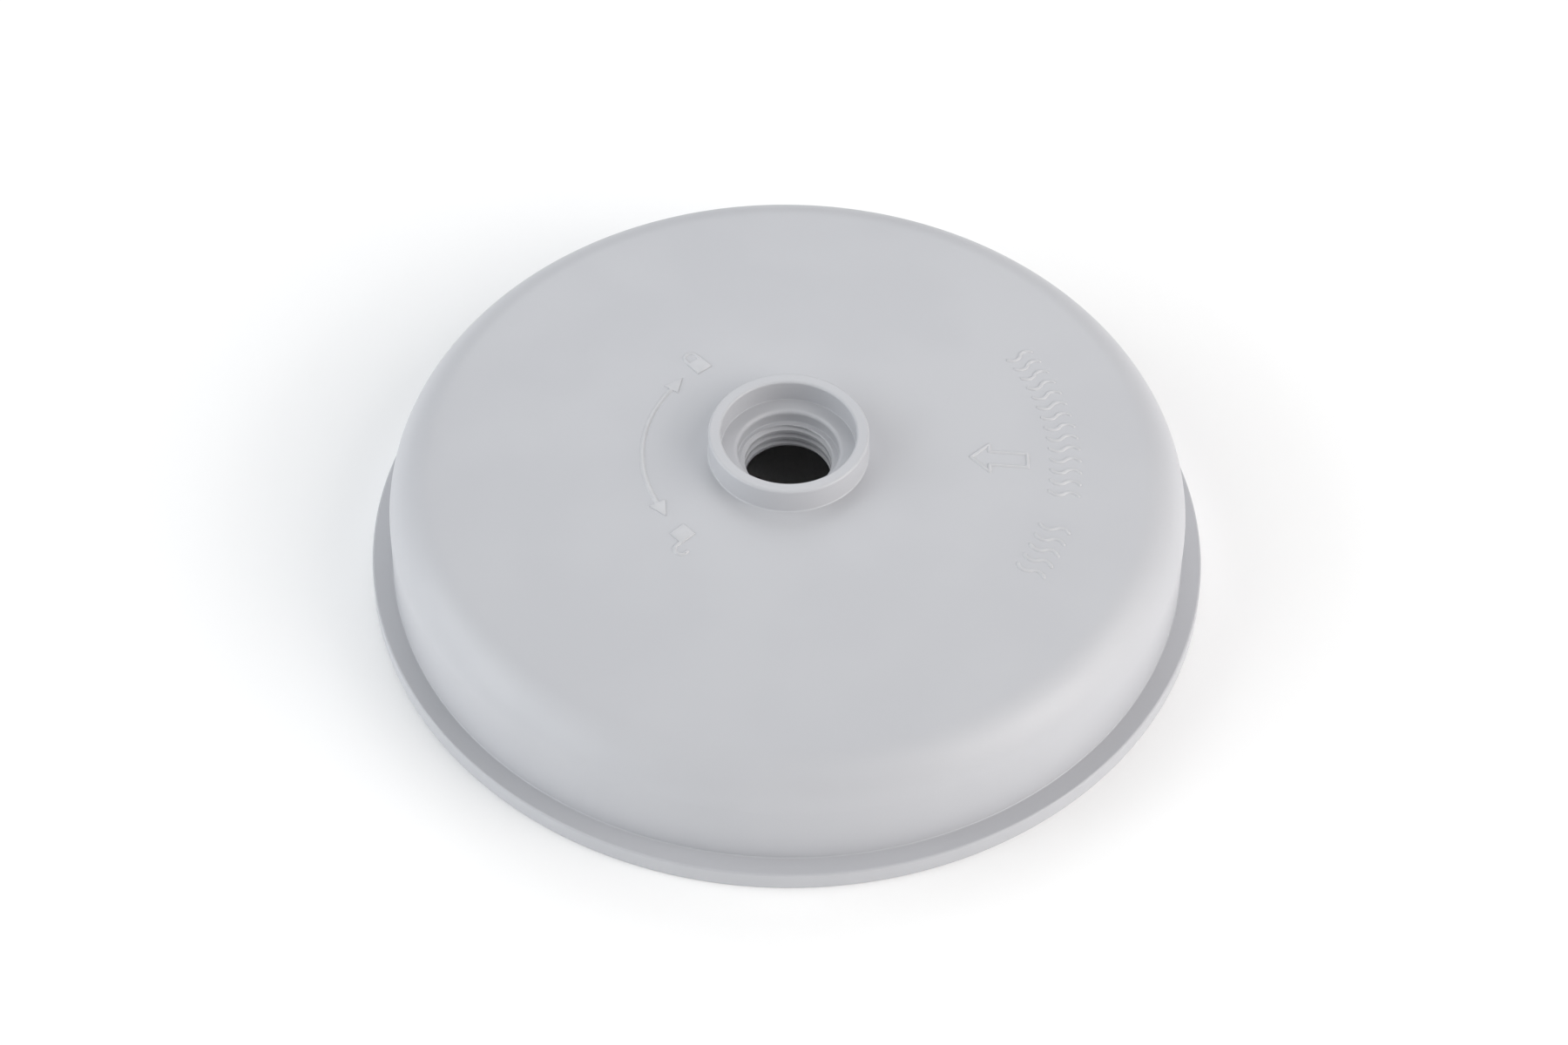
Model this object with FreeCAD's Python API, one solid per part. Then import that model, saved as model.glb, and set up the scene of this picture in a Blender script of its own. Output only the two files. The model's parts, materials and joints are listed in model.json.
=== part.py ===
"""Cover of a small cartridge filter housing, with a threaded air-release port.

The cover is one plastic moulding: a low dome with a flat flange round its foot and a raised
collar in the middle. The collar holds a counterbore, a rounded mouth and a female thread for an
air-release valve. Thin raised marks on the crown show where the air goes and which way the
clamp collar locks. A rubber seal sits in a channel in the flange's underside.

Units are millimetres. +Z is up, the origin is the middle of the flange's underside, and the
direction arrow lies on +X.
"""
import FreeCAD, Part
import math
import os

# Flange and dome
FLANGE_RADIUS = 75.0
FLANGE_THICKNESS = 3.7
FLANGE_WIDTH = 3.8
FLANGE_EDGE_ROUND = 0.4
WALL_THICKNESS = 2.5
CREASE_ROUND = 0.25
SHOULDER_RADIUS = 9.1
CROWN_HEIGHT = 28.3
CROWN_RADIUS = 490.0

# Threaded port. THREAD_RADIUS is the radius of the female thread's crests.
THREAD_RADIUS = 7.7
THREAD_PITCH = 1.75
THREAD_CREST = 0.7
THREAD_ROOT = 0.22
THREAD_FLANK = 30.0
THREAD_LENGTH = 4.9
THREAD_PHASE = -117.0
THREAD_CHAMFER = 0.4
TUBE_WALL = 2.5
LEAD_IN_CLEARANCE = 0.58
LEAD_IN_DEPTH = 2.6
MOUTH_ROUND = 0.7

# Collar and counterbore above the port
SEAT_WIDTH = 3.0
FLOOR_ROUND = 0.3
COUNTERBORE_DEPTH = 4.5
COLLAR_WALL = 2.2
COLLAR_RISE = 4.9
COLLAR_FOOT_ROUND = 0.25
RIM_ROUND = 0.45

# Seal and its channel in the flange's underside
CHANNEL_LAND = 1.3
CHANNEL_WIDTH = 3.0
CHANNEL_ROOF = 1.5
SEAL_SIDE_CLEARANCE = 0.2
SEAL_RECESS = 0.3
SEAL_ROUND = 0.4

# Raised marks on the crown
MARK_HEIGHT = 0.3
MARK_STROKE = 0.7
ARROW_TIP_RADIUS = 31.8
ARROW_LENGTH = 11.0
ARROW_HEAD_LENGTH = 4.2
ARROW_HEAD_HALF = 4.1
ARROW_SHAFT_HALF = 1.9
WAVE_MID_RADIUS = 49.2
WAVE_LENGTH = 5.2
WAVE_BEND = 50.0
WAVE_STEP = 3.1
WAVE_GROUPS = [(-24.4, 5), (11.8, 14)]
TURN_RADIUS = 25.9
TURN_STROKE = 0.8
TURN_MID = 176.5
TURN_HALF = 39.3
TURN_HEAD_LENGTH = 3.5
TURN_HEAD_HALF = 1.6
LOCK_RADIUS = 26.7
LOCK_OFFSET = 48.8
LOCK_TILT = 2.0
LOCK_BODY_LENGTH = 3.2
LOCK_BODY_WIDTH = 3.1
SHACKLE_RADIUS = 1.15
SHACKLE_LEG = 0.9

# What follows from the sizes above
WALL_RADIUS = FLANGE_RADIUS - FLANGE_WIDTH
INNER_RADIUS = WALL_RADIUS - WALL_THICKNESS
THREAD_SLOPE = math.tan(math.radians(THREAD_FLANK))
THREAD_DEPTH = (THREAD_PITCH - THREAD_CREST - THREAD_ROOT) / 2 / THREAD_SLOPE
LEAD_IN_RADIUS = THREAD_RADIUS + THREAD_DEPTH + LEAD_IN_CLEARANCE
COUNTERBORE_RADIUS = LEAD_IN_RADIUS + SEAT_WIDTH
COLLAR_RADIUS = COUNTERBORE_RADIUS + COLLAR_WALL
RIM_HEIGHT = CROWN_HEIGHT + COLLAR_RISE
FLOOR_HEIGHT = RIM_HEIGHT - COUNTERBORE_DEPTH
LEDGE_HEIGHT = FLOOR_HEIGHT - LEAD_IN_DEPTH
TUBE_FOOT = LEDGE_HEIGHT - THREAD_LENGTH
TUBE_RADIUS = LEAD_IN_RADIUS + TUBE_WALL
CHANNEL_INNER = INNER_RADIUS + CHANNEL_LAND
CHANNEL_OUTER = CHANNEL_INNER + CHANNEL_WIDTH
CHANNEL_DEPTH = FLANGE_THICKNESS - CHANNEL_ROOF

UP = FreeCAD.Vector(0, 0, 1)
TINY = 0.001


def point(radius, height):
    """A point of an outline that is turned about the Z axis."""
    return FreeCAD.Vector(radius, 0, height)


def turned(edges):
    """The solid that a closed outline sweeps in one turn about the Z axis."""
    wire = Part.Wire(Part.__sortEdges__(edges))
    return Part.Face(wire).revolve(FreeCAD.Vector(0, 0, 0), UP, 360)


def lines(corners):
    """Straight edges that join the corners in turn, without closing the loop."""
    return [Part.makeLine(a, b) for a, b in zip(corners, corners[1:])]


def ring(inner, outer, low, high):
    """A plain ring of rectangular section."""
    blank = Part.makeCylinder(outer, high - low, FreeCAD.Vector(0, 0, low))
    hole = Part.makeCylinder(inner, high - low, FreeCAD.Vector(0, 0, low))
    return blank.cut(hole)


def circles(shape, radius, height):
    """The shape's edges that run round the axis at this radius and height."""
    found = []
    for edge in shape.Edges:
        first, last = edge.ParameterRange
        spots = [edge.valueAt(first + share * (last - first)) for share in (0, 0.3, 0.7)]
        if all(abs(math.hypot(spot.x, spot.y) - radius) < TINY for spot in spots) and all(
                abs(spot.z - height) < TINY for spot in spots):
            found.append(edge)
    return found


def crown_at(radius):
    """Height of the crown's surface at a distance from the axis."""
    return CROWN_HEIGHT - CROWN_RADIUS + math.sqrt(CROWN_RADIUS ** 2 - radius ** 2)


def dome(offset):
    """The dome as a full solid, with its whole skin moved out by offset."""
    wall = WALL_RADIUS + offset
    shoulder = SHOULDER_RADIUS + offset
    crown = CROWN_RADIUS + offset
    top = CROWN_HEIGHT + offset
    hub = wall - shoulder
    crown_centre = top - crown
    hub_height = crown_centre + math.sqrt((crown - shoulder) ** 2 - hub ** 2)
    lean = math.atan2(hub, hub_height - crown_centre)

    def on_shoulder(angle):
        return point(hub + shoulder * math.sin(angle), hub_height + shoulder * math.cos(angle))

    def on_crown(angle):
        return point(crown * math.sin(angle), crown_centre + crown * math.cos(angle))

    halfway = (lean + math.pi / 2) / 2
    wall_top = on_shoulder(math.pi / 2)
    edges = lines([point(0, top), point(0, 0), point(wall, 0), wall_top])
    edges.append(Part.Arc(wall_top, on_shoulder(halfway), on_shoulder(lean)).toShape())
    edges.append(Part.Arc(on_crown(lean), on_crown(lean / 2), point(0, top)).toShape())
    return turned(edges)


def shell():
    """Dome, flange, collar and blind port, hollow below, without marks, thread or channel."""
    low = CROWN_HEIGHT - WALL_THICKNESS / 2
    flange = Part.makeCylinder(FLANGE_RADIUS, FLANGE_THICKNESS)
    collar = Part.makeCylinder(COLLAR_RADIUS, RIM_HEIGHT - low, FreeCAD.Vector(0, 0, low))
    tube = Part.makeCylinder(TUBE_RADIUS, low - TUBE_FOOT, FreeCAD.Vector(0, 0, TUBE_FOOT))
    counterbore = Part.makeCylinder(COUNTERBORE_RADIUS, COUNTERBORE_DEPTH,
                                    FreeCAD.Vector(0, 0, FLOOR_HEIGHT))
    lead_in = Part.makeCylinder(LEAD_IN_RADIUS, LEAD_IN_DEPTH, FreeCAD.Vector(0, 0, LEDGE_HEIGHT))
    body = dome(0).fuse([flange, collar]).cut(dome(-WALL_THICKNESS))
    body = body.fuse(tube).cut([counterbore, lead_in]).removeSplitter()
    return rounded(body, [
        (FLANGE_RADIUS, 0, FLANGE_EDGE_ROUND),
        (FLANGE_RADIUS, FLANGE_THICKNESS, FLANGE_EDGE_ROUND),
        (WALL_RADIUS, FLANGE_THICKNESS, CREASE_ROUND),
        (COLLAR_RADIUS, crown_at(COLLAR_RADIUS), COLLAR_FOOT_ROUND),
        (COLLAR_RADIUS, RIM_HEIGHT, RIM_ROUND),
        (COUNTERBORE_RADIUS, RIM_HEIGHT, RIM_ROUND),
        (COUNTERBORE_RADIUS, FLOOR_HEIGHT, FLOOR_ROUND),
        (LEAD_IN_RADIUS, FLOOR_HEIGHT, MOUTH_ROUND),
    ])


def rounded(shape, rounds):
    """The shape with the named circular edges rounded: radius, height and rounding of each."""
    for radius, height, size in rounds:
        shape = shape.makeFillet(size, circles(shape, radius, height))
    return shape


def thread_groove():
    """The helical V groove of the female thread, longer than the tube at both ends."""
    breakout = 0.2
    root_half = THREAD_ROOT / 2
    mouth_half = root_half + (THREAD_DEPTH + breakout) * THREAD_SLOPE
    inner = THREAD_RADIUS - breakout
    outer = THREAD_RADIUS + THREAD_DEPTH
    profile = Part.makePolygon([point(inner, -mouth_half), point(outer, -root_half),
                                point(outer, root_half), point(inner, mouth_half),
                                point(inner, -mouth_half)])
    helix = Part.makeHelix(THREAD_PITCH, THREAD_LENGTH + 2 * THREAD_PITCH, THREAD_RADIUS)
    groove = Part.Wire(helix.Edges).makePipeShell([profile], True, True)
    groove.translate(UP * (TUBE_FOOT - THREAD_PITCH))
    return groove


def line(start, end):
    """A straight edge in the ground plane. Points are (x, y)."""
    return Part.makeLine(FreeCAD.Vector(*start), FreeCAD.Vector(*end))


def bow(centre, radius, start, end):
    """A round edge in the ground plane, from one angle to another in degrees."""
    def at(degrees):
        angle = math.radians(degrees)
        return FreeCAD.Vector(*centre) + FreeCAD.Vector(math.cos(angle), math.sin(angle)) * radius

    return Part.Arc(at(start), at((start + end) / 2), at(end)).toShape()


def stroke(edges, width=MARK_STROKE):
    """A flat face of even width with round ends, along edges that follow each other."""
    return Part.Wire(edges).makeOffset2D(width / 2, fill=True)


def flat_polygon(corners):
    """A flat face with straight sides. Points are (x, y)."""
    loop = [FreeCAD.Vector(*corner) for corner in corners]
    return Part.Face(Part.makePolygon(loop + loop[:1]))


def placed(face, radius, angle, tilt=0.0):
    """A flat shape drawn with +X outwards, moved to a radius and angle, then tilted in place."""
    copy = face.copy()
    copy.rotate(FreeCAD.Vector(0, 0, 0), UP, tilt)
    copy.translate(FreeCAD.Vector(radius, 0, 0))
    copy.rotate(FreeCAD.Vector(0, 0, 0), UP, angle)
    return copy


def port_arrow():
    """Outlined arrow that points at the port."""
    neck = ARROW_TIP_RADIUS + ARROW_HEAD_LENGTH
    tail = ARROW_TIP_RADIUS + ARROW_LENGTH
    face = flat_polygon([
        (ARROW_TIP_RADIUS, 0), (neck, ARROW_HEAD_HALF), (neck, ARROW_SHAFT_HALF),
        (tail, ARROW_SHAFT_HALF), (tail, -ARROW_SHAFT_HALF), (neck, -ARROW_SHAFT_HALF),
        (neck, -ARROW_HEAD_HALF)])
    return face.cut(face.makeOffset2D(-MARK_STROKE))


def wave():
    """One wavy line of moving air, along X: two arcs that meet in the middle."""
    quarter = WAVE_LENGTH / 4
    radius = quarter / math.sin(math.radians(WAVE_BEND))
    rise = radius * math.cos(math.radians(WAVE_BEND))
    under = bow((-quarter, rise), radius, 270 - WAVE_BEND, 270 + WAVE_BEND)
    over = bow((quarter, -rise), radius, 90 + WAVE_BEND, 90 - WAVE_BEND)
    return stroke([under, over])


def waves():
    """The two rows of wavy lines outside the arrow."""
    marks = []
    for middle, count in WAVE_GROUPS:
        for index in range(count):
            angle = middle + (index - (count - 1) / 2) * WAVE_STEP
            marks.append(placed(wave(), WAVE_MID_RADIUS, angle))
    return marks


def turn_arrow():
    """Curved arrow with a head at each end, which shows the locking turn."""
    neck = TURN_HALF - math.degrees(TURN_HEAD_LENGTH / TURN_RADIUS)
    overlap = math.degrees(TURN_STROKE / TURN_RADIUS)
    shaft = stroke([bow((0, 0), TURN_RADIUS, TURN_MID - neck - overlap, TURN_MID + neck + overlap)],
                   TURN_STROKE)
    heads = []
    for side in (-1, 1):
        head = flat_polygon([(-TURN_HEAD_HALF, 0), (TURN_HEAD_HALF, 0), (0, side * TURN_HEAD_LENGTH)])
        heads.append(placed(head, TURN_RADIUS, TURN_MID + side * neck))
    return shaft.fuse(heads).removeSplitter()


def padlock(is_open):
    """Padlock with its shackle outwards along X. The open one's shackle is swung over one leg."""
    body = LOCK_BODY_LENGTH / 2
    width = LOCK_BODY_WIDTH / 2
    inside = body - MARK_STROKE
    bend = body + SHACKLE_LEG
    leg = SHACKLE_RADIUS
    middle = 2 * leg if is_open else 0.0
    free_end = bend - SHACKLE_LEG / 2 if is_open else inside
    free_leg = middle + leg if is_open else -leg
    far = 90 if is_open else -90
    shackle = [line((inside, leg), (bend, leg)), bow((bend, middle), leg, -far, far),
               line((bend, free_leg), (free_end, free_leg))]
    case = flat_polygon([(-body, -width), (body, -width), (body, width), (-body, width)])
    return case.fuse(stroke(shackle)).removeSplitter()


def raised_marks():
    """All marks as thin solids that start inside the skin and stand MARK_HEIGHT above it."""
    flat = [port_arrow(), turn_arrow()] + waves()
    flat.append(placed(padlock(False), LOCK_RADIUS, TURN_MID - LOCK_OFFSET, LOCK_TILT))
    flat.append(placed(padlock(True), LOCK_RADIUS, TURN_MID + LOCK_OFFSET, -LOCK_TILT))
    layer = dome(MARK_HEIGHT).cut(dome(-WALL_THICKNESS / 2))
    solids = []
    for mark in flat:
        solids += mark.extrude(UP * RIM_HEIGHT).common(layer).Solids
    return solids


def cover():
    """The whole moulding."""
    bore = Part.makeCylinder(THREAD_RADIUS, THREAD_LENGTH, FreeCAD.Vector(0, 0, TUBE_FOOT))
    chamfer = Part.makeCone(THREAD_RADIUS, THREAD_RADIUS + THREAD_CHAMFER, THREAD_CHAMFER,
                            FreeCAD.Vector(0, 0, LEDGE_HEIGHT - THREAD_CHAMFER))
    channel = ring(CHANNEL_INNER, CHANNEL_OUTER, 0, CHANNEL_DEPTH)
    body = shell().cut(thread_groove()).cut([bore, chamfer, channel])
    body.rotate(FreeCAD.Vector(0, 0, 0), UP, THREAD_PHASE)
    return body.fuse(raised_marks())


def rim_seal():
    """Flat rubber ring that seats on the roof of its channel, clear of both sides."""
    inner = CHANNEL_INNER + SEAL_SIDE_CLEARANCE
    outer = CHANNEL_OUTER - SEAL_SIDE_CLEARANCE
    body = ring(inner, outer, SEAL_RECESS, CHANNEL_DEPTH)
    return rounded(body, [(inner, SEAL_RECESS, SEAL_ROUND), (outer, SEAL_RECESS, SEAL_ROUND)])


os.makedirs("parts", exist_ok=True)
for name, shape in (("cover", cover()), ("rim_seal", rim_seal())):
    solid = shape.Solids[0]
    solid.exportStep("parts/" + name + ".step")
    print(name, "solids", len(shape.Solids), "valid", solid.isValid(),
          "volume", round(solid.Volume, 1), "box", solid.BoundBox)
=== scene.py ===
# %% [markdown]
# # A filter housing cover, one moulding with a threaded port
#
# The object is a low dome of matte light-grey plastic, 150 mm across, with a thin flange round
# its foot and a raised collar in the middle. The collar holds a counterbore and a female thread.
# Nearly everything on it is a solid of revolution, so the lesson is about turning one good
# outline, and about the small things that make plain plastic look real: soft edges, low raised
# marks and a fine matte grain.
#
# The frame below is the measured design. Every piece is placed from it.

# %% Load the frame
import json
import math

import bmesh
import bpy
from mathutils import Matrix, Vector


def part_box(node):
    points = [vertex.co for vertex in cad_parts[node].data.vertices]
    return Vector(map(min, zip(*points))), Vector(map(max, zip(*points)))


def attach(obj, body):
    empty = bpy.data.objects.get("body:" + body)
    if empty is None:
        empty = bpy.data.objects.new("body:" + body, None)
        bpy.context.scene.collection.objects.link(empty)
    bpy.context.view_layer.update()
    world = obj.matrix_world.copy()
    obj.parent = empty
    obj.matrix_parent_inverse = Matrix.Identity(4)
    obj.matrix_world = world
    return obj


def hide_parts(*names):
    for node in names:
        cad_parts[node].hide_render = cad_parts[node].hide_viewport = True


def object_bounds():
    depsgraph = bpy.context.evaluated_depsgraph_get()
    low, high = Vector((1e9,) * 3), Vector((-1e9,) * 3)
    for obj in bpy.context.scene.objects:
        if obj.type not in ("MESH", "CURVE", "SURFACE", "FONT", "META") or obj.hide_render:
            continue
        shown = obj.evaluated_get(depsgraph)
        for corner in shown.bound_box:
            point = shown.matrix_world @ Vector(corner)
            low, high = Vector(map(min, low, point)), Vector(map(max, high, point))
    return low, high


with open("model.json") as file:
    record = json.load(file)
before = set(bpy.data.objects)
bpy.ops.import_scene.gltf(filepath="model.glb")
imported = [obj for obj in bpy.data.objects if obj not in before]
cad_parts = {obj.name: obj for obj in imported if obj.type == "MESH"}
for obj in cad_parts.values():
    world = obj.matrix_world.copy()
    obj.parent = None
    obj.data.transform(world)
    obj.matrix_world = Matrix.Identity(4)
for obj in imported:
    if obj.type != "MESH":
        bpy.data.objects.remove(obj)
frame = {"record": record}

cad_low, cad_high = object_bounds()
print("design box in mm", [round(1000 * value, 1) for value in (*cad_low, *cad_high)])

# %% [markdown]
# ## Sizes
#
# The design states its fits as mounts, each with a radius in millimetres. Reading them from the
# record keeps the pieces true to the design, so only the heights, the roundings and the form of
# the thread, which no fit states, are written here. All lengths in this script are metres, so
# `MM` turns a drawing's millimetres into them.

# %% Sizes read from the design
MM = 0.001
mounts = {mount["name"]: mount for mount in frame["record"]["mounts"]}


def fit_radius(name):
    """The radius that the design states for one of its round fits, in metres."""
    return mounts[name]["dims"]["r_mm"] * MM


FLANGE_RADIUS = cad_high[0]
RIM_HEIGHT = cad_high[2]
FLANGE_THICKNESS = mounts["flange_top"]["pos_m"][2]
WALL_RADIUS = fit_radius("dome_wall")
INNER_RADIUS = fit_radius("housing_neck_seat")
COLLAR_RADIUS = fit_radius("collar_spigot")
SEAT_RADIUS = fit_radius("port_counterbore")
LEAD_IN_RADIUS = fit_radius("port_lead_in")
THREAD_RADIUS = fit_radius("air_release_port")
seal_low, seal_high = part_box("rim_seal")
SEAL_LOW, SEAL_HIGH = seal_low[2], seal_high[2]
SEAL_OUTER = seal_high[0]
print("flange", FLANGE_RADIUS, "wall", WALL_RADIUS, "port", THREAD_RADIUS)

# %% [markdown]
# The crown is part of a large sphere, and the heights of the port are counted down from the rim
# of the collar. `EDGE_BREAK` is the tiny rounding of every corner that is meant to be sharp.

# %% Sizes that no fit states
COLLAR_RISE = 4.9 * MM
COUNTERBORE_DEPTH = 4.5 * MM
LEAD_IN_DEPTH = 2.6 * MM
THREAD_LENGTH = 4.9 * MM
TUBE_WALL = 2.5 * MM
SHOULDER = 9.1 * MM
CROWN_RADIUS = 490 * MM
EDGE_BREAK = 0.12 * MM

WALL = WALL_RADIUS - INNER_RADIUS
CROWN_HEIGHT = RIM_HEIGHT - COLLAR_RISE
FLOOR_HEIGHT = RIM_HEIGHT - COUNTERBORE_DEPTH
LEDGE_HEIGHT = FLOOR_HEIGHT - LEAD_IN_DEPTH
TUBE_FOOT = LEDGE_HEIGHT - THREAD_LENGTH
TUBE_RADIUS = LEAD_IN_RADIUS + TUBE_WALL
crown_centre = CROWN_HEIGHT - CROWN_RADIUS


def crown_at(radius, sink=0.0):
    """Height of the crown at a distance from the axis, or of a skin that lies sink below it."""
    return crown_centre + math.sqrt((CROWN_RADIUS - sink) ** 2 - radius ** 2)


print("crown height at the collar in mm", round(crown_at(COLLAR_RADIUS) / MM, 2))

# %% [markdown]
# ## Camera
#
# The cover is seen from the front and well above, about 49 degrees up, through a fairly long
# lens, which keeps the ellipses of flange, shoulder and collar close to the same shape. The
# camera's place is given in its own directions, right, up and back from a point just above the
# floor, so that one small vector says how the cover sits in the frame.

# %% Camera
CAMERA_ELEVATION = math.radians(48.955)
CAMERA_ROLL = math.radians(0.776)
CAMERA_PLACE = Vector((-0.00053, 0.00537, 0.76689))
CAMERA_BASE = Vector((0.0, 0.0, 0.7 * MM))
LENS = 96.8
SENSOR_WIDTH = 36.0

camera_data = bpy.data.cameras.new("camera")
camera_data.lens = LENS
camera_data.sensor_width = SENSOR_WIDTH
camera = bpy.data.objects.new("camera", camera_data)
turn = Matrix.Rotation(math.pi / 2 - CAMERA_ELEVATION, 4, "X") @ Matrix.Rotation(CAMERA_ROLL, 4, "Z")
camera.matrix_world = Matrix.Translation(CAMERA_BASE) @ turn @ Matrix.Translation(CAMERA_PLACE)
bpy.context.scene.collection.objects.link(camera)
bpy.context.scene.camera = camera
print("camera at", [round(value, 4) for value in camera.matrix_world.translation])

# %% [markdown]
# ## Light and floor
#
# A pale table in a cloth tent: the lamps stand outside the cloth, so every one is a large soft
# square. The strongest stands low at the right front and is slightly warm. It draws the bright
# band on the right of the shoulder. A weaker low one stands at the right side, two low, cooler
# ones fill the left, and four higher ones keep the crown even. The world adds the rest from
# everywhere. Colours are shown as they are, so the view transform is the plain one.

# %% Soft boxes
WORLD_STRENGTH = 0.32
BOX_DISTANCE = 1.3
BOX_SIZE = 0.85

scene = bpy.context.scene
scene.view_settings.view_transform = "Standard"
world = bpy.data.worlds.new("tent")
world.use_nodes = True
world.node_tree.nodes["Background"].inputs["Color"].default_value = (1.0, 1.0, 1.0, 1.0)
world.node_tree.nodes["Background"].inputs["Strength"].default_value = WORLD_STRENGTH
scene.world = world


def soft_box(name, azimuth, elevation, power, tint):
    """A square area light round the cover, at angles in degrees, turned to face it."""
    side, rise = math.radians(azimuth), math.radians(elevation)
    level = math.cos(rise)
    place = Vector((level * math.cos(side), level * math.sin(side), math.sin(rise))) * BOX_DISTANCE
    data = bpy.data.lights.new(name, "AREA")
    data.shape = "SQUARE"
    data.size = BOX_SIZE
    data.energy = power
    data.color = tint
    light = bpy.data.objects.new(name, data)
    light.location = place
    light.rotation_euler = (-place).to_track_quat("-Z", "Y").to_euler()
    scene.collection.objects.link(light)


soft_box("right_low_box", 333, 18, 7.4, (1.0, 0.968, 0.932))
soft_box("right_side_box", 0, 18, 2.6, (1.0, 0.980, 0.960))
soft_box("right_high_box", 325, 42, 3.5, (1.0, 0.970, 0.970))
soft_box("left_low_box", 210, 18, 4.6, (0.928, 0.970, 1.0))
soft_box("left_side_box", 180, 18, 4.0, (0.960, 0.960, 1.0))
soft_box("back_box", 90, 42, 4.3, (0.940, 0.960, 1.0))
soft_box("left_box", 180, 42, 4.0, (0.960, 1.0, 0.990))
soft_box("right_box", 0, 42, 2.5, (1.0, 0.990, 0.970))

# %% [markdown]
# The table is one wide flat sheet at the height of the flange's underside. It is not attached to
# the cover's body.

# %% Floor
FLOOR_SIZE = 4.0

floor_mesh = bpy.data.meshes.new("floor")
floor_shape = bmesh.new()
bmesh.ops.create_grid(floor_shape, x_segments=1, y_segments=1, size=FLOOR_SIZE)
floor_shape.to_mesh(floor_mesh)
floor_shape.free()
floor = bpy.data.objects.new("floor", floor_mesh)
floor.location.z = cad_low[2]
scene.collection.objects.link(floor)
print("floor at", floor.location.z)

# %% [markdown]
# ## Shader maths as expressions
#
# A material is a small program. Wrapping a socket in a class lets the program read like maths:
# `grain * 0.3 + 0.5` adds its own Math nodes. One method, `node`, makes any other node from its
# type, its settings and its inputs.

# %% Shader helper
class Socket:
    """An output socket that can be added, subtracted and multiplied."""

    def __init__(self, tree, output):
        self.tree = tree
        self.output = output

    def node(self, kind, settings=None, **inputs):
        """Adds a node. An input is named by its socket, with _ for spaces, or by i and a number."""
        made = self.tree.nodes.new(kind)
        for name, value in (settings or {}).items():
            setattr(made, name, value)
        for name, value in inputs.items():
            key = int(name[1:]) if name[1:].isdigit() else name.replace("_", " ")
            target = made.inputs[key]
            if isinstance(value, Socket):
                self.tree.links.new(value.output, target)
            else:
                target.default_value = value
        return made

    def maths(self, operation, *values):
        """The result of one Math node on sockets and plain numbers."""
        inputs = {f"i{place}": value for place, value in enumerate(values)}
        made = self.node("ShaderNodeMath", {"operation": operation}, **inputs)
        return Socket(self.tree, made.outputs[0])

    def __add__(self, other):
        return self.maths("ADD", self, other)

    __radd__ = __add__

    def __sub__(self, other):
        return self.maths("SUBTRACT", self, other)

    def __rsub__(self, other):
        return self.maths("SUBTRACT", other, self)

    def __mul__(self, other):
        return self.maths("MULTIPLY", self, other)

    __rmul__ = __mul__

    def clamped(self, low, high):
        """0 at low, 1 at high, smooth between."""
        made = self.node("ShaderNodeMapRange", {"interpolation_type": "SMOOTHSTEP"}, Value=self,
                         From_Min=low, From_Max=high)
        return Socket(self.tree, made.outputs["Result"])

    def noise(self, scale, detail=3.0, roughness=0.5):
        """Fine random pattern, read from this socket as a place."""
        made = self.node("ShaderNodeTexNoise", Vector=self, Scale=scale, Detail=detail,
                         Roughness=roughness)
        return Socket(self.tree, made.outputs["Fac"])

    def mixed(self, first, second):
        """A colour between two others, with this socket as the share of the second."""
        made = self.node("ShaderNodeMix", {"data_type": "RGBA"}, Factor=self)
        for place, value in ((6, first), (7, second)):
            if isinstance(value, Socket):
                self.tree.links.new(value.output, made.inputs[place])
            else:
                made.inputs[place].default_value = value
        return Socket(self.tree, made.outputs[2])

    def bump(self, distance, strength=1.0):
        """A surface normal that reads this socket as a height, 1 being as high as distance."""
        made = self.node("ShaderNodeBump", Height=self, Distance=distance, Strength=strength)
        return Socket(self.tree, made.outputs["Normal"])


def new_material(name):
    """A node material with its shader's inputs and the piece's own coordinates as a socket."""
    material = bpy.data.materials.new(name)
    material.use_nodes = True
    tree = material.node_tree
    shader = tree.nodes["Principled BSDF"]
    coordinates = tree.nodes.new("ShaderNodeTexCoord")
    return material, shader, Socket(tree, coordinates.outputs["Object"])


def plug(shader, name, value):
    """Links a socket to one of the shader's inputs."""
    value.tree.links.new(value.output, shader.inputs[name])


print("shader helper ready")

# %% [markdown]
# ## Matte moulded plastic
#
# The steel mould of such a cover is spark-eroded, which leaves a fine pebbled grain, less than
# half a millimetre from bump to bump. The grain is what spreads the highlights. Under it the
# colour is nearly even: the pigment varies by two or three percent in broad clouds, and the dome
# sinks and swells by hundredths of a millimetre where it cooled unevenly. A soft bump at three
# scales and a slightly uneven roughness say all of that. The top of the flange and the crease at
# the wall's foot are painted a little darker, picked out by height: painted shade where the wall keeps
# light off.

# %% Cover plastic
PLASTIC = (0.502, 0.508, 0.531, 1.0)
PLASTIC_CLOUD = (0.489, 0.495, 0.519, 1.0)
# Painted shade: the darker colour for the flange top and the crease at the wall's foot.
FLANGE_PAINTED_SHADE = (0.457, 0.462, 0.485, 1.0)
CLOUD_SCALE = 38.0
GRAIN_SCALE = 2600.0
PEBBLE_SCALE = 900.0
SWELL_SCALE = 24.0
SHADE_BLOTCH_SCALE = 60.0
SHADE_FADE_IN = (0.35 * MM, 0.15 * MM)
SHADE_FADE_OUT = (0.15 * MM, 0.5 * MM)

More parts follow.
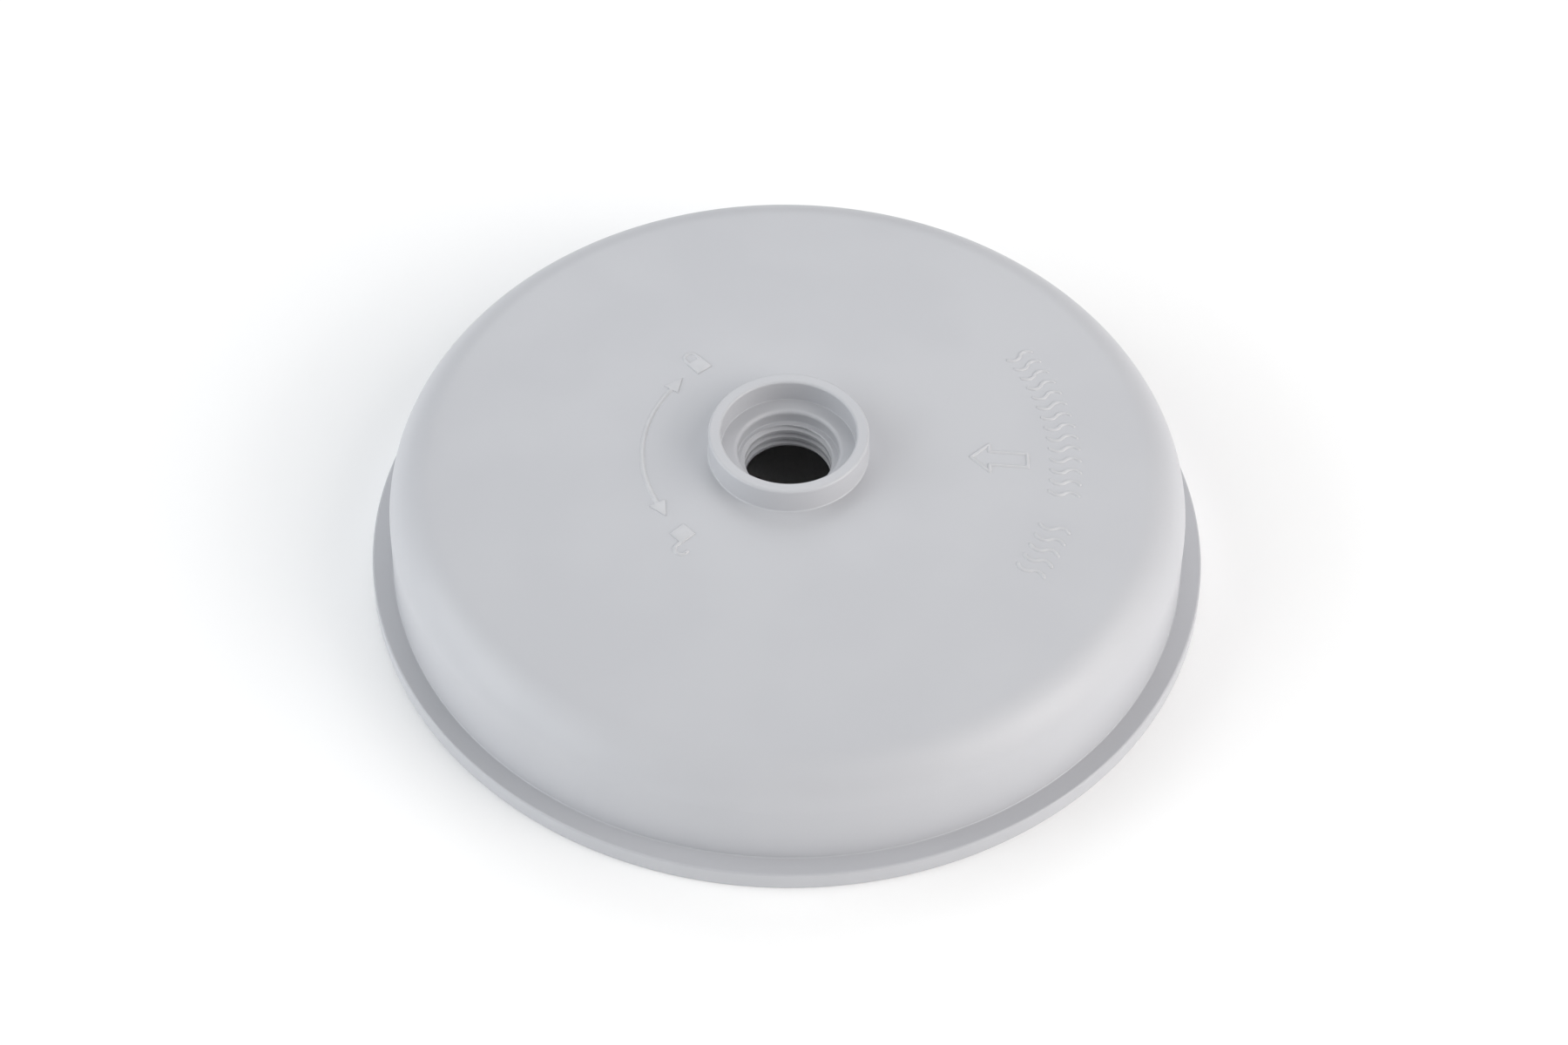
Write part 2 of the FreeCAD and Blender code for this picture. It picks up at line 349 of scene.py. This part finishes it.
cover_plastic, shader, place = new_material("cover_plastic")
clouds = place.noise(CLOUD_SCALE, detail=2.0).clamped(0.35, 0.65)
grain = place.noise(GRAIN_SCALE, detail=2.0, roughness=0.6)
pebbles = place.noise(PEBBLE_SCALE, detail=1.0)
swell = place.noise(SWELL_SCALE, detail=1.0)
height_up = Socket(place.tree, place.node("ShaderNodeSeparateXYZ", Vector=place).outputs["Z"])
# Painted shade mask: a band of heights from just under the flange top to just above it, blotchy in
# strength.
above_edge = height_up.clamped(*[FLANGE_THICKNESS - fade for fade in SHADE_FADE_IN])
below_wall = 1 - height_up.clamped(*[FLANGE_THICKNESS + fade for fade in SHADE_FADE_OUT])
painted_flange_shade = above_edge * below_wall * (0.85 + place.noise(SHADE_BLOTCH_SCALE) * 0.3)
plug(shader, "Base Color", painted_flange_shade.mixed(clouds.mixed(PLASTIC, PLASTIC_CLOUD), FLANGE_PAINTED_SHADE))
plug(shader, "Roughness", 0.36 + grain * 0.08 + clouds * 0.03)
shader.inputs["IOR"].default_value = 1.5
height = grain * 0.012 + pebbles * 0.010 + swell * 0.05
plug(shader, "Normal", height.bump(MM))
print("cover plastic nodes", len(cover_plastic.node_tree.nodes))

# %% [markdown]
# The raised marks get their own finish. Their tops lose most of the grain and are a little smoother
# than the crown round them. Both their colours are a shade paler than the crown's: a painted
# highlight where the ridges catch the light.

# %% Marks with painted highlight
# Painted highlight: both mark colours are paler than the crown's plastic, mixed at random.
MARK_PALE = (0.537, 0.541, 0.559, 1.0)
MARK_PLAIN = (0.522, 0.527, 0.546, 1.0)
MARK_BLOTCH_SCALE = 700.0
MARK_GRAIN = 0.006 * MM

mark_plastic, shader, place = new_material("mark_plastic")
mark_blotches = place.noise(MARK_BLOTCH_SCALE, detail=2.0).clamped(0.35, 0.65)
plug(shader, "Base Color", mark_blotches.mixed(MARK_PALE, MARK_PLAIN))
plug(shader, "Roughness", 0.33 + mark_blotches * 0.06)
plug(shader, "Normal", place.noise(GRAIN_SCALE).bump(MARK_GRAIN))
print("marks are a shade paler than the crown")

# %% [markdown]
# ## Seal rubber and table
#
# The seal is black rubber with a dull skin and a dusting of grey talc. The table is plain.

# %% Seal rubber and table
RUBBER = (0.022, 0.022, 0.024, 1.0)
TALC = (0.060, 0.060, 0.062, 1.0)
TALC_SCALE = 420.0
RUBBER_SCALE = 1500.0
RUBBER_GRAIN = 0.02 * MM
TABLE_WHITE = (0.96, 0.96, 0.96, 1.0)
TABLE_ROUGHNESS = 0.9

seal_rubber, shader, place = new_material("seal_rubber")
talc = place.noise(TALC_SCALE, detail=4.0, roughness=0.6).clamped(0.48, 0.72)
plug(shader, "Base Color", talc.mixed(RUBBER, TALC))
plug(shader, "Roughness", 0.62 + talc * 0.22)
plug(shader, "Normal", place.noise(RUBBER_SCALE).bump(RUBBER_GRAIN, 0.6))

table_top, shader, _ = new_material("table_top")
shader.inputs["Base Color"].default_value = TABLE_WHITE
shader.inputs["Roughness"].default_value = TABLE_ROUGHNESS
floor.data.materials.append(table_top)
print("materials", [item.name for item in bpy.data.materials])

# %% [markdown]
# ## The moulding's outline
#
# A lathe needs only half a section. The corners are listed once, each with its rounding, and
# `soft_path` turns a rounded corner into a short arc. It also adds a support point just past
# each arc. Without those the smooth shading of the arc would bleed over the flats beside it.
# The shoulder and the crown are true arcs that touch each other, so they come from a formula.

# %% Outline helpers
CORNER_STEPS = 5
SUPPORT = 0.10 * MM


def soft_path(corners):
    """Points along (r, z, rounding) corners, with every rounded corner as an arc."""
    path = [Vector(corners[0][:2])]
    for before, here, after in zip(corners, corners[1:], corners[2:]):
        corner = Vector(here[:2])
        back = (Vector(before[:2]) - corner).normalized()
        ahead = (Vector(after[:2]) - corner).normalized()
        half = back.angle(ahead) / 2
        reach = here[2] / math.tan(half)
        middle = corner + (back + ahead).normalized() * (here[2] / math.sin(half))
        spoke = corner + back * reach - middle
        sweep = (math.pi - 2 * half) * math.copysign(1, back.cross(ahead))
        path.append(corner + back * (reach + SUPPORT))
        for step in range(CORNER_STEPS + 1):
            path.append(middle + Matrix.Rotation(-sweep * step / CORNER_STEPS, 2) @ spoke)
        path.append(corner + ahead * (reach + SUPPORT))
    path.append(Vector(corners[-1][:2]))
    return path


def dome_path(sink, end_radius, steps):
    """Points up a straight wall's top, over the shoulder and along the crown to a radius."""
    shoulder = SHOULDER - sink
    crown = CROWN_RADIUS - sink
    hub = WALL_RADIUS - SHOULDER
    hub_height = crown_centre + math.sqrt((crown - shoulder) ** 2 - hub ** 2)
    lean = math.atan2(hub, hub_height - crown_centre)
    path = []
    for step in range(steps + 1):
        angle = math.pi / 2 + (lean - math.pi / 2) * step / steps
        path.append(Vector((hub + shoulder * math.sin(angle), hub_height + shoulder * math.cos(angle))))
    last = math.asin(end_radius / crown)
    for step in range(1, steps + 1):
        angle = lean + (last - lean) * step / steps
        path.append(Vector((crown * math.sin(angle), crown_centre + crown * math.cos(angle))))
    return path


quarter = soft_path([(0, 0, 0), (1, 0, 0.5), (1, 1, 0)])
print("a rounded corner has", len(quarter), "points")

# %% [markdown]
# The outline comes in pieces: the foot with the flange and the seal's channel, the skin over
# the dome, the collar down to the thread, the tube, and the lining on the inside of the dome.
# `LANDING` is how far a piece runs past its last corner before the next one takes over.

# %% The moulding's outline
CREASE_ROUND = 0.25 * MM
FLANGE_ROUND = 0.4 * MM
RIM_ROUND = 0.45 * MM
COLLAR_FOOT_ROUND = 0.25 * MM
MOUTH_ROUND = 0.7 * MM
TUBE_ROOT_ROUND = 0.5 * MM
CHANNEL_LAND = 1.3 * MM
CHANNEL_WIDTH = 3.0 * MM
CHANNEL_INNER = INNER_RADIUS + CHANNEL_LAND
CHANNEL_OUTER = CHANNEL_INNER + CHANNEL_WIDTH
CHAMFER = 0.4 * MM
LANDING = 3 * MM
SKIN_STEPS = 22
LINING_STEPS = 18

foot = soft_path([
    (INNER_RADIUS, LANDING, 0), (INNER_RADIUS, 0, EDGE_BREAK),
    (CHANNEL_INNER, 0, EDGE_BREAK), (CHANNEL_INNER, SEAL_HIGH, EDGE_BREAK),
    (CHANNEL_OUTER, SEAL_HIGH, EDGE_BREAK), (CHANNEL_OUTER, 0, EDGE_BREAK),
    (FLANGE_RADIUS, 0, FLANGE_ROUND), (FLANGE_RADIUS, FLANGE_THICKNESS, FLANGE_ROUND),
    (WALL_RADIUS, FLANGE_THICKNESS, CREASE_ROUND), (WALL_RADIUS, FLANGE_THICKNESS + LANDING, 0)])
collar = soft_path([
    (COLLAR_RADIUS + LANDING, crown_at(COLLAR_RADIUS + LANDING), 0),
    (COLLAR_RADIUS, crown_at(COLLAR_RADIUS), COLLAR_FOOT_ROUND),
    (COLLAR_RADIUS, RIM_HEIGHT, RIM_ROUND), (SEAT_RADIUS, RIM_HEIGHT, RIM_ROUND),
    (SEAT_RADIUS, FLOOR_HEIGHT, EDGE_BREAK), (LEAD_IN_RADIUS, FLOOR_HEIGHT, MOUTH_ROUND),
    (LEAD_IN_RADIUS, LEDGE_HEIGHT, EDGE_BREAK),
    (THREAD_RADIUS + CHAMFER, LEDGE_HEIGHT, 0)])
tube = soft_path([
    (THREAD_RADIUS, TUBE_FOOT, 0), (TUBE_RADIUS, TUBE_FOOT, EDGE_BREAK),
    (TUBE_RADIUS, crown_at(TUBE_RADIUS, WALL), TUBE_ROOT_ROUND),
    (TUBE_RADIUS + LANDING, crown_at(TUBE_RADIUS + LANDING, WALL), 0)])
skin = dome_path(0.0, COLLAR_RADIUS + LANDING, SKIN_STEPS)
lining = dome_path(WALL, TUBE_RADIUS + LANDING, LINING_STEPS)
print("points", len(foot), len(skin), len(collar), len(tube), len(lining))

# %% [markdown]
# ## The thread
#
# The female thread is a V groove that climbs one pitch in each turn. Its rows are turned as a
# plain bore first, and then each point moves outwards by the groove's depth at its own height
# and angle. The rows stay level, so the ends of the thread run out cleanly into the ledge above
# and the tube's foot below, as they do on the moulding.

# %% Thread rows and depth
THREAD_PITCH = 1.75 * MM
THREAD_CREST = 0.70 * MM
THREAD_ROOT = 0.22 * MM
THREAD_SLOPE = math.tan(math.radians(30))
THREAD_DEPTH = (THREAD_PITCH - THREAD_CREST - THREAD_ROOT) / 2 / THREAD_SLOPE
THREAD_PHASE = math.radians(-117)
THREAD_ROWS = 58


def groove_depth(height, angle):
    """How deep the groove is at a height and an angle about the axis."""
    turns = (height - TUBE_FOOT) / THREAD_PITCH - (angle - THREAD_PHASE) / (2 * math.pi)
    off_centre = abs(turns - round(turns)) * THREAD_PITCH
    fall = (off_centre - THREAD_ROOT / 2) / THREAD_SLOPE
    return min(max(THREAD_DEPTH - fall, 0.0), THREAD_DEPTH)


chamfer_foot = LEDGE_HEIGHT - CHAMFER
thread = []
for row in range(1, THREAD_ROWS):
    height = LEDGE_HEIGHT + (TUBE_FOOT - LEDGE_HEIGHT) * row / THREAD_ROWS
    thread.append(Vector((THREAD_RADIUS + max(height - chamfer_foot, 0.0), height)))
print("thread depth in mm", round(THREAD_DEPTH / MM, 3), "rows", len(thread))

# %% [markdown]
# ## Turning the moulding
#
# The outline is a closed loop of edges that never touches the axis, because the port runs right
# through. One full spin closes the solid. The spin can turn the faces inside out, so the normals
# are set again at the end, and sharp edges are marked by angle.

# %% Turn the moulding
TURNS = 360
MERGE_DISTANCE = 1e-7
SHARP_ANGLE = math.radians(38)


def finished(shape, name, material):
    """Makes a piece of a bmesh: merged, facing out, smooth, with its material."""
    bmesh.ops.remove_doubles(shape, verts=shape.verts, dist=MERGE_DISTANCE)
    bmesh.ops.recalc_face_normals(shape, faces=shape.faces)
    for face in shape.faces:
        face.smooth = True
    mesh = bpy.data.meshes.new(name)
    shape.to_mesh(mesh)
    shape.free()
    mesh.set_sharp_from_angle(angle=SHARP_ANGLE)
    mesh.materials.append(material)
    piece = bpy.data.objects.new(name, mesh)
    scene.collection.objects.link(piece)
    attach(piece, "root")
    return piece


def turned(loop):
    """A bmesh of a closed outline of (r, z) points, turned once about the axis."""
    shape = bmesh.new()
    corners = [shape.verts.new((point.x, 0.0, point.y)) for point in loop]
    for first, second in zip(corners, corners[1:] + corners[:1]):
        shape.edges.new((first, second))
    bmesh.ops.spin(shape, geom=shape.verts[:] + shape.edges[:], cent=(0, 0, 0), axis=(0, 0, 1),
                   angle=2 * math.pi, steps=TURNS, use_merge=True)
    return shape


loop = foot + skin + collar[1:] + thread + tube + lining[::-1]
moulding = turned(loop)
for vertex in moulding.verts:
    radius = math.hypot(vertex.co.x, vertex.co.y)
    if radius < THREAD_RADIUS + CHAMFER + EDGE_BREAK and vertex.co.z < LEDGE_HEIGHT + EDGE_BREAK:
        depth = groove_depth(vertex.co.z, math.atan2(vertex.co.y, vertex.co.x))
        stretch = max(1.0, (THREAD_RADIUS + depth) / radius)
        vertex.co.x *= stretch
        vertex.co.y *= stretch
cover = finished(moulding, "cover_moulding", cover_plastic)
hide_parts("cover")
print("moulding faces", len(cover.data.polygons))

# %% [markdown]
# ## The raised marks
#
# Marks like these are cut into the mould with a small ball-nosed cutter, so on the plastic they
# stand up as low ridges with a round top and round ends. A ridge is a tube laid just under the
# crown, so that only its back shows. Straight ridges are thin cylinders, bent ones are a circle
# that is spun part of a turn, and a ball closes every end and corner.
#
# The real cover carries a line of lettering outside the arrow. Here two rows of wavy lines stand
# for moving air in its place. Everything is drawn flat first and lifted onto the crown last.

# %% Ridge tools
MARK_HEIGHT = 0.22 * MM
MARK_STROKE = 0.74 * MM
TOOL_SIDES = 14
BALL_SHRINK = 0.997
BALL_TURN = math.radians(8)
RIDGE_CUTS = 5
BEND_STEPS = 10


def cutter(stroke):
    """Radius of the ball that cuts a ridge of this width at the crown's surface."""
    return ((stroke / 2) ** 2 + MARK_HEIGHT ** 2) / (2 * MARK_HEIGHT)


def ball(shape, at, stroke=MARK_STROKE):
    """The round end of a ridge, a hair smaller and turned, so that no point meets the ridge's."""
    spot = Matrix.Translation((at[0], at[1], 0.0)) @ Matrix.Rotation(BALL_TURN, 4, "Z")
    bmesh.ops.create_uvsphere(shape, u_segments=TOOL_SIDES, v_segments=TOOL_SIDES // 2,
                              radius=cutter(stroke) * BALL_SHRINK, matrix=spot)


def straight_ridge(shape, start, end):
    """A straight ridge between two places, with a ball at either end."""
    run = Vector((*end, 0.0)) - Vector((*start, 0.0))
    middle = Matrix.Translation((Vector((*start, 0.0)) + Vector((*end, 0.0))) / 2)
    aim = run.to_track_quat("Z", "Y").to_matrix().to_4x4()
    made = bmesh.ops.create_cone(shape, cap_ends=True, segments=TOOL_SIDES, depth=run.length,
                                 radius1=cutter(MARK_STROKE), radius2=cutter(MARK_STROKE),
                                 matrix=middle @ aim)
    edges = {edge for vertex in made["verts"] for edge in vertex.link_edges}
    lengthwise = [edge for edge in edges
                  if abs((edge.verts[1].co - edge.verts[0].co).dot(run)) > run.length_squared / 2]
    bmesh.ops.subdivide_edges(shape, edges=lengthwise, cuts=RIDGE_CUTS, use_grid_fill=True)
    ball(shape, start)
    ball(shape, end)


def bent_ridge(shape, centre, bend, start, end, stroke=MARK_STROKE, steps=BEND_STEPS):
    """A ridge along an arc, from one angle to another in degrees, with a ball at either end."""
    pivot = Vector((*centre, 0.0))
    ray = Vector((math.cos(math.radians(start)), math.sin(math.radians(start)), 0.0))
    upright = ray.cross((0, 0, 1)).to_track_quat("Z", "Y").to_matrix().to_4x4()
    made = bmesh.ops.create_circle(shape, segments=TOOL_SIDES, radius=cutter(stroke),
                                   matrix=Matrix.Translation(pivot + ray * bend) @ upright)
    ring = made["verts"]
    edges = list({edge for vertex in ring for edge in vertex.link_edges})
    swept = bmesh.ops.spin(shape, geom=ring + edges, cent=pivot, axis=(0, 0, 1),
                           angle=math.radians(end - start), steps=steps, use_merge=False)
    last = [item for item in swept["geom_last"] if isinstance(item, bmesh.types.BMVert)]
    shape.faces.new(ring)
    shape.faces.new(last)
    for degrees in (start, end):
        angle = math.radians(degrees)
        ball(shape, (centre[0] + bend * math.cos(angle), centre[1] + bend * math.sin(angle)), stroke)


print("cutter radius in mm", round(cutter(MARK_STROKE) / MM, 3))

# %% [markdown]
# A mark is drawn in a bmesh of its own, about its own middle, with +X pointing away from the
# port. `stamp` swings it to its radius and angle on the crown and adds it to the other marks.

# %% Placing marks
PLATEAU_EDGE = 0.16 * MM
PLATEAU_STEPS = 3

marks = bmesh.new()


def stamp(mark, radius=0.0, angle=0.0, tilt=0.0):
    """Adds a finished mark to the others, at a radius and angle on the crown."""
    swing = Matrix.Rotation(math.radians(angle), 4, "Z") @ Matrix.Translation((radius, 0, 0))
    mark.transform(swing @ Matrix.Rotation(math.radians(tilt), 4, "Z"))
    carrier = bpy.data.meshes.new("mark")
    mark.to_mesh(carrier)
    marks.from_mesh(carrier)
    mark.free()
    bpy.data.meshes.remove(carrier)
    return len(marks.faces)


def plateau(shape, corners):
    """A flat-topped raised patch with softened edges."""
    top = cutter(MARK_STROKE)
    base = [shape.verts.new((x, y, -top)) for x, y in corners]
    face = shape.faces.new(base)
    lifted = bmesh.ops.extrude_face_region(shape, geom=[face])
    raised = [item for item in lifted["geom"] if isinstance(item, bmesh.types.BMVert)]
    bmesh.ops.translate(shape, verts=raised, vec=(0, 0, 2 * top))
    rims = [item for item in lifted["geom"] if isinstance(item, bmesh.types.BMEdge)]
    bmesh.ops.bevel(shape, geom=rims, offset=PLATEAU_EDGE, offset_type="OFFSET",
                    segments=PLATEAU_STEPS, profile=0.5, affect="EDGES", material=-1)


print("a mark is drawn flat, stamped, then lifted")

# %% [markdown]
# The straight arrow is an outline that points at the port. Its ridges run half a stroke inside
# the drawn shape, so that their outer edges give the arrow its size.

# %% The straight arrow
ARROW_TIP = 31.8 * MM
ARROW_LENGTH = 11.0 * MM
ARROW_HEAD = 4.2 * MM
ARROW_HEAD_HALF = 4.1 * MM
ARROW_SHAFT_HALF = 1.9 * MM

inset = MARK_STROKE / 2
slant = math.hypot(ARROW_HEAD, ARROW_HEAD_HALF)
tip = ARROW_TIP + inset * slant / ARROW_HEAD_HALF
neck = ARROW_TIP + ARROW_HEAD - inset
wing = (neck - tip) * ARROW_HEAD_HALF / ARROW_HEAD
side = ARROW_SHAFT_HALF - inset
tail = ARROW_TIP + ARROW_LENGTH - inset
outline = [(tip, 0), (neck, wing), (neck, side), (tail, side),
           (tail, -side), (neck, -side), (neck, -wing)]
arrow = bmesh.new()
for first, second in zip(outline, outline[1:] + outline[:1]):
    straight_ridge(arrow, first, second)
print("faces with the arrow", stamp(arrow))

# %% [markdown]
# The wavy lines stand side by side on one circle, in two groups, as the lettering has two words.
# Each group is given by the angle of its middle and by its number of lines.

# %% The wavy lines of moving air
WAVE_RADIUS = 49.2 * MM
WAVE_LENGTH = 5.2 * MM
WAVE_BEND = 50.0
WAVE_STEP = 3.1
WAVE_GROUPS = [(-24.4, 5), (11.8, 14)]


def wave(shape):
    """One wavy line along X, two arcs that meet in the middle."""
    quarter_length = WAVE_LENGTH / 4
    bend = quarter_length / math.sin(math.radians(WAVE_BEND))
    rise = bend * math.cos(math.radians(WAVE_BEND))
    bent_ridge(shape, (quarter_length, -rise), bend, 90 - WAVE_BEND, 90 + WAVE_BEND)
    bent_ridge(shape, (-quarter_length, rise), bend, 270 - WAVE_BEND, 270 + WAVE_BEND)


for middle, count in WAVE_GROUPS:
    for index in range(count):
        line = bmesh.new()
        wave(line)
        stamp(line, WAVE_RADIUS, middle + (index - (count - 1) / 2) * WAVE_STEP)
print("faces with the waves", len(marks.faces))

# %% [markdown]
# On the other side of the port a curved arrow with two heads joins a shut padlock to an open
# one: turn one way to lock the clamp collar, and the other way to free it. Its line is broader
# than the other strokes, so it is laid a little deeper and all the tops are level. The padlocks'
# cases are small flat plateaus, and their shackles are ridges.

# %% The turning arrow
TURN_STEPS = 48
TURN_RADIUS = 25.9 * MM
TURN_STROKE = 0.95 * MM
TURN_MID = 176.5
TURN_HALF = 39.3
TURN_HEAD = 3.5 * MM
TURN_HEAD_HALF = 1.6 * MM

turn_neck = TURN_HALF - math.degrees(TURN_HEAD / TURN_RADIUS)
bow = bmesh.new()
bent_ridge(bow, (0, 0), TURN_RADIUS, TURN_MID - turn_neck, TURN_MID + turn_neck,
           TURN_STROKE, TURN_STEPS)
bow.transform(Matrix.Translation((0, 0, cutter(MARK_STROKE) - cutter(TURN_STROKE))))
stamp(bow)
for sign in (-1, 1):
    head = bmesh.new()
    plateau(head, [(-TURN_HEAD_HALF, 0), (TURN_HEAD_HALF, 0), (0, sign * TURN_HEAD)])
    stamp(head, TURN_RADIUS, TURN_MID + sign * turn_neck)
print("faces with the turning arrow", len(marks.faces))

# %% [markdown]
# The padlocks stand a little beyond the two heads of the turning arrow, the shut one clockwise
# of it as seen from above.

# %% The padlocks
LOCK_RADIUS = 26.5 * MM
LOCK_MID = 177.1
LOCK_OFFSET = 49.4
LOCK_TILT = 2.0
LOCK_LENGTH = 3.2 * MM
LOCK_WIDTH = 3.1 * MM
SHACKLE = 1.15 * MM
SHACKLE_LEG = 0.9 * MM


def padlock(shape, is_open):
    """A padlock with its shackle outwards; the open one's shackle is swung over one leg."""
    case, width = LOCK_LENGTH / 2, LOCK_WIDTH / 2
    bend = case + SHACKLE_LEG
    middle = 2 * SHACKLE if is_open else 0.0
    free_leg = middle + SHACKLE if is_open else -SHACKLE
    free_end = bend - SHACKLE_LEG / 2 if is_open else case - MARK_STROKE
    plateau(shape, [(-case, -width), (case, -width), (case, width), (-case, width)])
    straight_ridge(shape, (case - MARK_STROKE, SHACKLE), (bend, SHACKLE))
    bent_ridge(shape, (bend, middle), SHACKLE, -90, 90)
    straight_ridge(shape, (bend, free_leg), (free_end, free_leg))


for sign, is_open in ((-1, False), (1, True)):
    lock = bmesh.new()
    padlock(lock, is_open)
    stamp(lock, LOCK_RADIUS, LOCK_MID + sign * LOCK_OFFSET, -sign * LOCK_TILT)
print("faces with the padlocks", len(marks.faces))

# %% [markdown]
# All marks are flat until here. Each point is raised by the height of the crown at its own
# distance from the axis, less the part of the ridge that stays below the surface.

# %% Lift the marks onto the crown
sunk = MARK_HEIGHT - cutter(MARK_STROKE)
for vertex in marks.verts:
    vertex.co.z += crown_at(math.hypot(vertex.co.x, vertex.co.y)) + sunk
raised_marks = finished(marks, "raised_marks", mark_plastic)
print("marks faces", len(raised_marks.data.polygons))

# %% [markdown]
# ## The seal
#
# A flat rubber ring lies in the channel under the flange, against the channel's roof and a
# little above the table. It is turned like the moulding.

# %% The seal ring
SEAL_CLEARANCE = 0.2 * MM
SEAL_ROUND = 0.4 * MM
SEAL_LANDING = 1 * MM

SEAL_INNER = CHANNEL_INNER + SEAL_CLEARANCE
seal_loop = soft_path([
    (SEAL_INNER + SEAL_LANDING, SEAL_HIGH, 0), (SEAL_INNER, SEAL_HIGH, EDGE_BREAK),
    (SEAL_INNER, SEAL_LOW, SEAL_ROUND), (SEAL_OUTER, SEAL_LOW, SEAL_ROUND),
    (SEAL_OUTER, SEAL_HIGH, EDGE_BREAK), (SEAL_OUTER - SEAL_LANDING, SEAL_HIGH, 0)])
seal = finished(turned(seal_loop), "seal_ring", seal_rubber)
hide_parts("rim_seal")
print("seal faces", len(seal.data.polygons))
